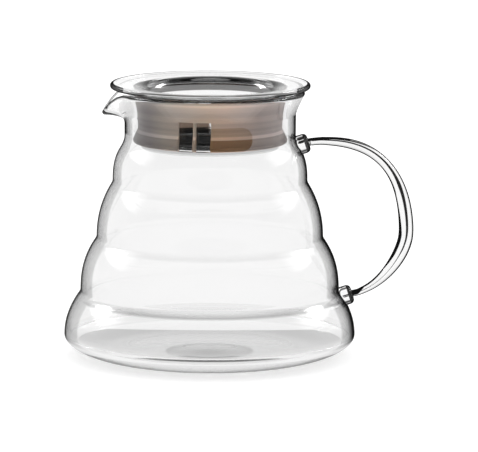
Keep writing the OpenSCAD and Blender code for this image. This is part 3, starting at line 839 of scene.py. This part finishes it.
dress(lid, "lid_glass", lid_look,
      clear_glass("pressed_glass", wave=LID_WAVE),
      clear_glass("pressed_glass_edge", LID_EDGE, wave=LID_WAVE),
      clear_glass("pressed_glass_corner_painted_shade", CORNER_SHADE, wave=LID_WAVE),
      clear_glass("pressed_glass_bend_painted_shade", BEND_SHADE, wave=LID_WAVE),
      clear_glass("pressed_glass_floor", FLOOR_EDGE, wave=LID_WAVE, inside=0.0),
      clear_glass("pressed_glass_bead_painted_highlight", BEAD_HIGHLIGHT, wave=LID_WAVE, inside=0.0, lit=HIGHLIGHT_GLOW),
      clear_glass("pressed_glass_foot_painted_highlight", FOOT_HIGHLIGHT, wave=LID_WAVE, inside=0.0, lit=HIGHLIGHT_GLOW))

# %% [markdown]
# ## Brown silicone
#
# The gasket is a translucent brown silicone with a matte skin: a warm grey brown, in faint level
# bands from the turned mould. Light and shade are painted into that colour: lighter at its foot, at
# its top edge and in a line along the lip, where light gathers in it, and darker and cooler towards
# the sides, a painted shade and reflection. To the right of the front notch the light that comes in
# through the opposite notch is painted as an amber patch. The side that faces the lid's cup gets
# hardly any light from there, so it is painted nearly black, but light comes through the silicone
# from outside, so it gets a painted glow by height. All of this is laid out by place on the gasket,
# in one Principled shader. A volume inside the band would be truer, but it takes far more samples to
# come clean.

# %% The silicone's colours by place, with its painted light and shade
BAND_SCALE, BAND_DETAIL, BAND_COLOURS = 420, 2, [(0.3, (0.60, 0.46, 0.35)), (0.7, (0.75, 0.575, 0.43))]
# Painted light by height: lighter at the foot, in a line along the lip and at the top edge.
PAINTED_LIGHT_BY_HEIGHT = [(0.0, 1.5), (0.025, 1.5), (0.04, 0.55), (0.08, 0.75), (0.255, 0.80), (0.27, 1.55),
                  (0.31, 1.55), (0.325, 0.95), (0.80, 1.05), (0.93, 1.2), (0.965, 1.7), (1.0, 0.9)]
# Painted shade and painted reflection across the band: darker and cooler towards both sides, most of all to
# the left.
SHADE_AND_REFLECTION_ACROSS = [(0.02, (0.45, 0.53, 0.70)), (0.12, (0.50, 0.58, 0.75)), (0.21, (0.76, 0.86, 1.0)),
               (0.50, (1.02, 1.0, 1.02)), (0.60, (1.04, 1.0, 1.07)), (0.82, (0.79, 0.86, 1.06)),
               (0.95, (0.85, 0.95, 1.2))]
# The painted amber light patch to the right of the front notch: its place, size, rounding, and its colour
# below and above the lip.
AMBER_MIDDLE, AMBER_HALF, AMBER_ROUND = (0.0068, 0.0930), (0.0056, 0.0005), 0.0044
AMBER_SPLIT_Z, AMBER_LIGHT_LOW, AMBER_LIGHT_HIGH = 0.0929, (0.58, 0.42, 0.25, 1), (0.80, 0.72, 0.62, 1)
# The bore is painted nearly black as shade, with a painted glow by height that turns white in a band near its
# top.
BORE_MARGIN, BORE_PAINTED_SHADE = 0.25, (0.012, 0.010, 0.009, 1)
BORE_PAINTED_GLOW = [(0.08, (0.006, 0.004, 0.003)), (0.21, (0.18, 0.13, 0.10)), (0.45, (0.18, 0.13, 0.10)),
             (0.79, 0.20), (0.81, 1.0), (0.895, 1.0), (0.91, 0.22)]
SILICONE_ROUGHNESS, SOFT_SHARE, SOFT_DEPTH = 0.5, 0.15, (0.002, 0.0012, 0.0008)


def share_of(tree, value, low, high):
    """Where a value lies between two numbers, from 0 to 1."""
    node = tree.nodes.new("ShaderNodeMapRange")
    for socket, given in (("Value", value), ("From Min", low), ("From Max", high)):
        put(tree, given, node.inputs[socket])
    return node.outputs["Result"]


def colours(tree, blend, share, first, second):
    """Two colours mixed or multiplied by a share."""
    mix = tree.nodes.new("ShaderNodeMix")
    mix.data_type, mix.blend_type = "RGBA", blend
    for socket, given in (("Factor", share), ("A", first), ("B", second)):
        if isinstance(given, tuple):
            mix.inputs[socket].default_value = given
        else:
            put(tree, given, mix.inputs[socket])
    return mix.outputs["Result"]


# %% The silicone
def silicone(name):
    material = bpy.data.materials.new(name)
    tree, nodes, links = nodes_of(material)
    x, y, z = split_axes(tree, nodes.new("ShaderNodeTexCoord").outputs["Object"])
    bands = nodes.new("ShaderNodeTexNoise")
    bands.noise_dimensions = "1D"
    bands.inputs["Scale"].default_value = BAND_SCALE
    bands.inputs["Detail"].default_value = BAND_DETAIL
    links.new(z, bands.inputs["W"])
    up = share_of(tree, z, GASKET_LOW_Z * MM, GASKET_TOP_Z * MM)
    across = share_of(tree, x, -LIP_R * MM, LIP_R * MM)
    colour = ramp(tree, bands.outputs["Fac"], BAND_COLOURS)
    # Painted light by height.
    colour = colours(tree, "MULTIPLY", 1.0, colour, ramp(tree, up, PAINTED_LIGHT_BY_HEIGHT))
    # Painted shade and reflection across the band.
    colour = colours(tree, "MULTIPLY", 1.0, colour, ramp(tree, across, SHADE_AND_REFLECTION_ACROSS))
    # The painted amber light patch.
    past = [beyond(tree, math_node(tree, "ABSOLUTE", math_node(tree, "SUBTRACT", value, middle)), half)
            for value, middle, half in zip((x, z), AMBER_MIDDLE, AMBER_HALF)]
    amber_light = math_node(tree, "MULTIPLY", math_node(tree, "LESS_THAN", y, 0),
                      math_node(tree, "LESS_THAN", length(tree, *past), AMBER_ROUND))
    amber_light_colour = colours(tree, "MIX", math_node(tree, "GREATER_THAN", z, AMBER_SPLIT_Z), AMBER_LIGHT_LOW, AMBER_LIGHT_HIGH)
    colour = colours(tree, "MULTIPLY", amber_light, colour, amber_light_colour)
    # The bore: painted shade in its colour, and a painted glow in its emission.
    bore = math_node(tree, "LESS_THAN", length(tree, x, y), (BORE_R + BORE_MARGIN) * MM)
    rubber = nodes.new("ShaderNodeBsdfPrincipled")
    rubber.inputs["Roughness"].default_value = SILICONE_ROUGHNESS
    rubber.inputs["Subsurface Weight"].default_value = SOFT_SHARE
    rubber.inputs["Subsurface Radius"].default_value = SOFT_DEPTH
    links.new(colours(tree, "MIX", bore, colour, BORE_PAINTED_SHADE), rubber.inputs["Base Color"])
    links.new(ramp(tree, up, BORE_PAINTED_GLOW), rubber.inputs["Emission Color"])
    links.new(bore, rubber.inputs["Emission Strength"])
    out = nodes.new("ShaderNodeOutputMaterial")
    links.new(rubber.outputs["BSDF"], out.inputs["Surface"])
    return material


gasket.data.materials.clear()
gasket.data.materials.append(silicone("brown_silicone"))
print("silicone on", gasket.name)

# %% [markdown]
# ## Table and room
#
# Clear glass is photographed against a bright field, with darker things outside the picture. The
# table is white, with a grey mat under the vessel that only shows through the glass. Two narrow
# dark cards in every quarter of the table, and a wider one in every quarter of the room, draw the
# dark lines along the handle's rod. They count only for light that one wall has bent, so that the
# vessel itself, with its two walls, stays clean. The room is white where the camera looks. For
# bent light it is white near the table's level and darker overhead, but less so behind two walls.
# For mirrored light it is dark in front, where the photographer stands, and white behind, with a
# tall window and a small bright lamp on both sides. Lamps and cards could stand there as real
# meshes, but a background that is written as a rule of the direction gives the same mirror images
# without noise, and it adds no piece to the room.

# %% What the room holds in each direction
WIDE_CARD = [(0.37, 1.0), (0.41, 0.03), (0.59, 0.03), (0.63, 1.0)]
FAR_CARD = [(0.80, 1.0), (0.82, 0.02), (0.92, 0.02), (0.94, 1.0)]
NEAR_CARD = [(0.70, 1.0), (0.72, 0.02), (0.81, 0.02), (0.83, 1.0)]
CARD_REACH = ((FAR_CARD, 0.22, 0.45), (NEAR_CARD, 0.09, 0.20))
ROOM_SIDES = [(0.0, 0.03), (0.38, 0.04), (0.55, 0.35), (0.80, 0.9), (0.86, 1.0)]
MIRRORED, ONE_WALL, TWO_WALLS = 0.5, 2.5, 3.5


def card_level(tree, x, y, card):
    """A dark card for bent light, the same at every quarter turn."""
    quarter = math_node(tree, "WRAP", math_node(tree, "ARCTAN2", y, x), math.pi / 2, 0.0)
    return ramp(tree, math_node(tree, "DIVIDE", quarter, math.pi / 2), card)


def side_share(tree, x, y):
    """0 straight in front, 0.5 at either side, 1 straight behind."""
    turn = math_node(tree, "ARCTAN2", y, math_node(tree, "ABSOLUTE", x))
    return math_node(tree, "ADD", math_node(tree, "DIVIDE", turn, math.pi), 0.5)


def light_path(tree):
    """The outputs that say how light came, and whether it was mirrored and was bent by one wall only."""
    path = tree.nodes.new("ShaderNodeLightPath").outputs
    return (path, math_node(tree, "GREATER_THAN", path["Glossy Depth"], MIRRORED),
            math_node(tree, "LESS_THAN", path["Transmission Depth"], ONE_WALL))


# %% The white table with its mat
TABLE_HALF, TABLE_Z, TABLE_WHITE, TABLE_GLOW = 4.0, -0.0001, 0.85, 0.45
TABLE_LEVEL, MAT_SHADE, NEAR_LEVEL, NEAR_HALF = 1.04, 0.44, 0.8, 0.12
MAT_R, MAT_HALF = 0.0665, 0.050

mesh = bpy.data.meshes.new("table")
mesh.from_pydata([(x * TABLE_HALF, y * TABLE_HALF, TABLE_Z) for x, y in ((-1, -1), (1, -1), (1, 1), (-1, 1))],
                 [], [(0, 1, 2, 3)])
table = bpy.data.objects.new("table", mesh)
bpy.context.scene.collection.objects.link(table)

white = bpy.data.materials.new("white_table")
tree, nodes, links = nodes_of(white)
x, y, _ = split_axes(tree, nodes.new("ShaderNodeTexCoord").outputs["Object"])
x_off, y_off = (math_node(tree, "ABSOLUTE", value) for value in (x, y))
far = math_node(tree, "MAXIMUM", x_off, y_off)
on_mat = math_node(tree, "MULTIPLY", math_node(tree, "LESS_THAN", length(tree, x_off, y_off), MAT_R),
                   math_node(tree, "LESS_THAN", y_off, MAT_HALF))
path, mirrored, once = light_path(tree)
matte = nodes.new("ShaderNodeBsdfDiffuse")
matte.inputs["Color"].default_value = (TABLE_WHITE,) * 3 + (1,)
glow = nodes.new("ShaderNodeEmission")
links.new(math_node(tree, "MULTIPLY", path["Is Camera Ray"], TABLE_GLOW), glow.inputs["Strength"])
seen = nodes.new("ShaderNodeAddShader")
links.new(matte.outputs["BSDF"], seen.inputs[0])
links.new(glow.outputs["Emission"], seen.inputs[1])
bent_level = math_node(tree, "SUBTRACT", TABLE_LEVEL, math_node(tree, "MULTIPLY", on_mat, MAT_SHADE))
for card, start, end in CARD_REACH:
    here = math_node(tree, "MULTIPLY", once, between(tree, far, start, end))
    bent_level = math_node(tree, "MULTIPLY", bent_level, fade(tree, here, card_level(tree, x, y, card)))
room_side = ramp(tree, side_share(tree, x, y), ROOM_SIDES)
mirrored_level = fade(tree, math_node(tree, "GREATER_THAN", far, NEAR_HALF), room_side, NEAR_LEVEL)
bent = nodes.new("ShaderNodeEmission")
links.new(fade(tree, mirrored, mirrored_level, bent_level), bent.inputs["Strength"])
through = math_node(tree, "MAXIMUM", path["Is Transmission Ray"], path["Is Glossy Ray"])
out = nodes.new("ShaderNodeOutputMaterial")
links.new(mixed(tree, through, seen.outputs["Shader"], bent.outputs["Emission"]), out.inputs["Surface"])
table.data.materials.append(white)
print("table half width:", TABLE_HALF, "m, mat radius:", MAT_R, "m")

# %% The room
ROOM_HEIGHT, DEEP_LEVEL, DIFFUSE_LEVEL = [(0.10, 1.0), (0.30, 0.8), (0.50, 0.4), (0.7, 0.10)], 0.75, 0.95
WINDOW = ([(0.47, 0.0), (0.60, 1.0), (0.84, 1.0), (0.88, 0.0)],
          [(0.30, 0.0), (0.36, 1.0), (0.72, 1.0), (0.80, 0.0)], 2.0)
LAMP = ([(0.595, 0.0), (0.62, 1.0), (0.69, 1.0), (0.715, 0.0)],
        [(0.38, 0.0), (0.44, 1.0), (0.66, 1.0), (0.72, 0.0)], 24.0)

world = bpy.data.worlds.new("room")
bpy.context.scene.world = world
tree, nodes, links = nodes_of(world)
x, y, z = split_axes(tree, nodes.new("ShaderNodeTexCoord").outputs["Generated"])
path, mirrored, once = light_path(tree)
side = side_share(tree, x, y)
height = ramp(tree, z, ROOM_HEIGHT)
deep = math_node(tree, "GREATER_THAN", path["Transmission Depth"], TWO_WALLS)
height = fade(tree, deep, math_node(tree, "MAXIMUM", height, DEEP_LEVEL), height)
card = fade(tree, once, card_level(tree, x, y, WIDE_CARD))
level = fade(tree, mirrored, ramp(tree, side, ROOM_SIDES), card)
level = math_node(tree, "MULTIPLY", height, level)
for by_side, by_height, strength in (WINDOW, LAMP):
    light = math_node(tree, "MULTIPLY", ramp(tree, side, by_side), ramp(tree, z, by_height))
    light = math_node(tree, "MULTIPLY", light, math_node(tree, "MULTIPLY", mirrored, strength))
    level = math_node(tree, "ADD", level, light)
level = math_node(tree, "MAXIMUM", level, path["Is Camera Ray"])
level = math_node(tree, "MAXIMUM", level, math_node(tree, "MULTIPLY", path["Is Diffuse Ray"], DIFFUSE_LEVEL))
soft = nodes.new("ShaderNodeBackground")
soft.inputs["Color"].default_value = (1, 1, 1, 1)
links.new(level, soft.inputs["Strength"])
out = nodes.new("ShaderNodeOutputWorld")
links.new(soft.outputs["Background"], out.inputs["Surface"])
print("the room is at most", WINDOW[2], "times white in its windows and", LAMP[2], "times in its lamps")

# %% [markdown]
# ## The camera
#
# The photograph was taken from far away with a long lens, a little above the rim: the lid's
# ellipse is 7 degrees open and the foot's 11. The place and the lens below reproduce the grooves,
# the lid and the handle of the photograph to within about a pixel.

# %% The camera
PHOTO_W = 478
CAMERA_AT = Vector((0.0119, -1.8, 0.342585))
FOCAL_PX, PITCH, ROLL, SENSOR_MM, CLIP_END = 4461.0, math.radians(9.12), math.radians(0.25), 36, 20
right, up = Vector((1, 0, 0)), Vector((0, math.sin(PITCH), math.cos(PITCH)))
right, up = right * math.cos(ROLL) + up * math.sin(ROLL), up * math.cos(ROLL) - right * math.sin(ROLL)
back = right.cross(up)
lens = bpy.data.cameras.new("camera")
lens.sensor_width = SENSOR_MM
lens.sensor_fit = "HORIZONTAL"
lens.lens = FOCAL_PX / PHOTO_W * lens.sensor_width
lens.clip_end = CLIP_END
camera = bpy.data.objects.new("camera", lens)
bpy.context.scene.collection.objects.link(camera)
camera.matrix_world = Matrix((
    (right.x, up.x, back.x, CAMERA_AT.x), (right.y, up.y, back.y, CAMERA_AT.y),
    (right.z, up.z, back.z, CAMERA_AT.z), (0, 0, 0, 1)))
bpy.context.scene.camera = camera
bpy.context.scene.view_settings.view_transform = "Standard"
print("lens", round(lens.lens, 1), "mm")
